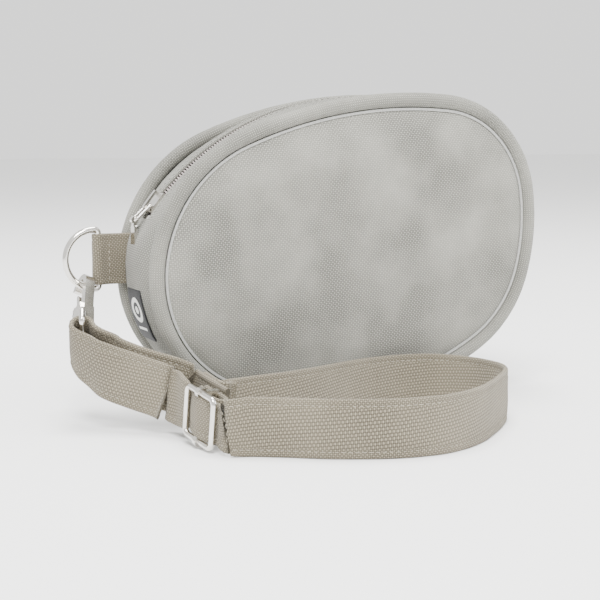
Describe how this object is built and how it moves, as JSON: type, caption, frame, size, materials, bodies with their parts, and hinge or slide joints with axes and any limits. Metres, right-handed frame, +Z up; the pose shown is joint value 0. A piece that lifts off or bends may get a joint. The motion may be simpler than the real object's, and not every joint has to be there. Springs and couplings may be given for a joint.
{
  "type": "oval zip pouch",
  "caption": "Oval fabric pouch with piped edges, zipped gusset, D-ring tab, swivel snap hook and adjustable wrist strap.",
  "frame": {"origin": "centre of the whole footprint, on the surface that the pouch and its strap stand on", "axes": "+X along the pouch away from its D-ring, +Y from the strap loop towards the back panel, +Z up"},
  "size_m": [0.2424, 0.1581, 0.151],
  "materials": {
    "cloth": "matt woven upholstery cloth, cool grey",
    "piping": "matt bias-cut woven cloth",
    "cord": "twisted cotton cord",
    "wadding": "soft needled wadding",
    "lining": "plain woven lining",
    "zip_tape": "ribbed woven tape",
    "zip_coil": "nylon coil",
    "nickel": "polished nickel plate",
    "steel": "bright steel",
    "strap": "matt woven cloth strap, warm beige grey",
    "label": "woven label, black with a plain white pattern"
  },
  "bodies": {
    "root": {"front_panel": "cloth", "back_panel": "cloth", "front_wadding": "wadding", "back_wadding": "wadding", "lining_front": "lining", "lining_back": "lining", "lining_gusset": "lining", "front_piping": "piping", "back_piping": "piping", "front_piping_cord": "cord", "back_piping_cord": "cord", "front_seam_tape": "lining", "back_seam_tape": "lining", "lower_gusset": "cloth", "zip_gusset_front": "cloth", "zip_gusset_back": "cloth", "zip_tape_front": "zip_tape", "zip_tape_back": "zip_tape", "zip_coil_front": "zip_coil", "zip_coil_back": "zip_coil", "zip_closed_stop": "nickel", "zip_open_stop": "nickel", "d_ring_tab": "strap", "side_label": "label"},
    "zip_slider": {"slider_body": "nickel", "slider_bridge": "nickel"},
    "pull_link": {"zip_pull_link": "nickel"},
    "pull_tab": {"zip_pull_tab": "nickel"},
    "ring": {"d_ring": "nickel"},
    "hook": {"hook_body": "nickel", "gate_pin": "steel", "gate_spring": "steel"},
    "gate": {"hook_gate": "nickel"},
    "eye": {"swivel_eye": "nickel"},
    "strap": {"strap_hook_loop": "strap", "strap_wrist_loop": "strap"},
    "slide": {"slide_frame": "nickel", "slide_bar": "nickel", "strap_end_loop": "strap"}
  },
  "joints": [
    {"name": "zip_travel", "type": "hinge", "parent": "root", "child": "zip_slider", "pos_m": [0.02925, 0.05205, 0.0177], "axis": [0, 1, 0], "range_deg": [0, 89]},
    {"name": "link_swing", "type": "hinge", "parent": "zip_slider", "child": "pull_link", "pos_m": [-0.07696, 0.05205, 0.09861], "axis": [0, 1, 0], "range_deg": [0, 90]},
    {"name": "pull_swing", "type": "hinge", "parent": "pull_link", "child": "pull_tab", "pos_m": [-0.08428, 0.05205, 0.09179], "axis": [0, 1, 0], "range_deg": [0, 175]},
    {"name": "ring_swing", "type": "hinge", "parent": "root", "child": "ring", "pos_m": [-0.09625, 0.07005, 0.0725], "axis": [0, 0, -1], "range_deg": [0, 70]},
    {"name": "hook_swing", "type": "hinge", "parent": "ring", "child": "hook", "pos_m": [-0.10355, 0.07005, 0.05963], "axis": [-1, 0, 0], "range_deg": [0, 45]},
    {"name": "hook_swivel", "type": "hinge", "parent": "hook", "child": "eye", "pos_m": [-0.10956, 0.05155, 0.04556], "axis": [-0.2503, -0.7707, -0.586], "range_deg": [0, 90]},
    {"name": "gate_open", "type": "hinge", "parent": "hook", "child": "gate", "pos_m": [-0.1091, 0.05813, 0.04662], "axis": [0.9196, 0, -0.3929], "range_deg": [0, 20], "stiffness_Nm_per_rad": 0.02, "springref_deg": -17.19},
    {"name": "strap_on_bar", "type": "hinge", "parent": "eye", "child": "strap", "pos_m": [-0.11304, 0.04084, 0.03742], "axis": [0.181, 0.5573, -0.8103], "range_deg": [0, 60]},
    {"name": "slide_adjust", "type": "slide", "parent": "strap", "child": "slide", "axis": [-0.1228, 0.9826, 0.1392], "range_m": [0, 0.012]}
  ],
  "couplings": [
    {"joint": "pull_swing", "follows": "zip_travel", "ratio": 1.9658}
  ]
}
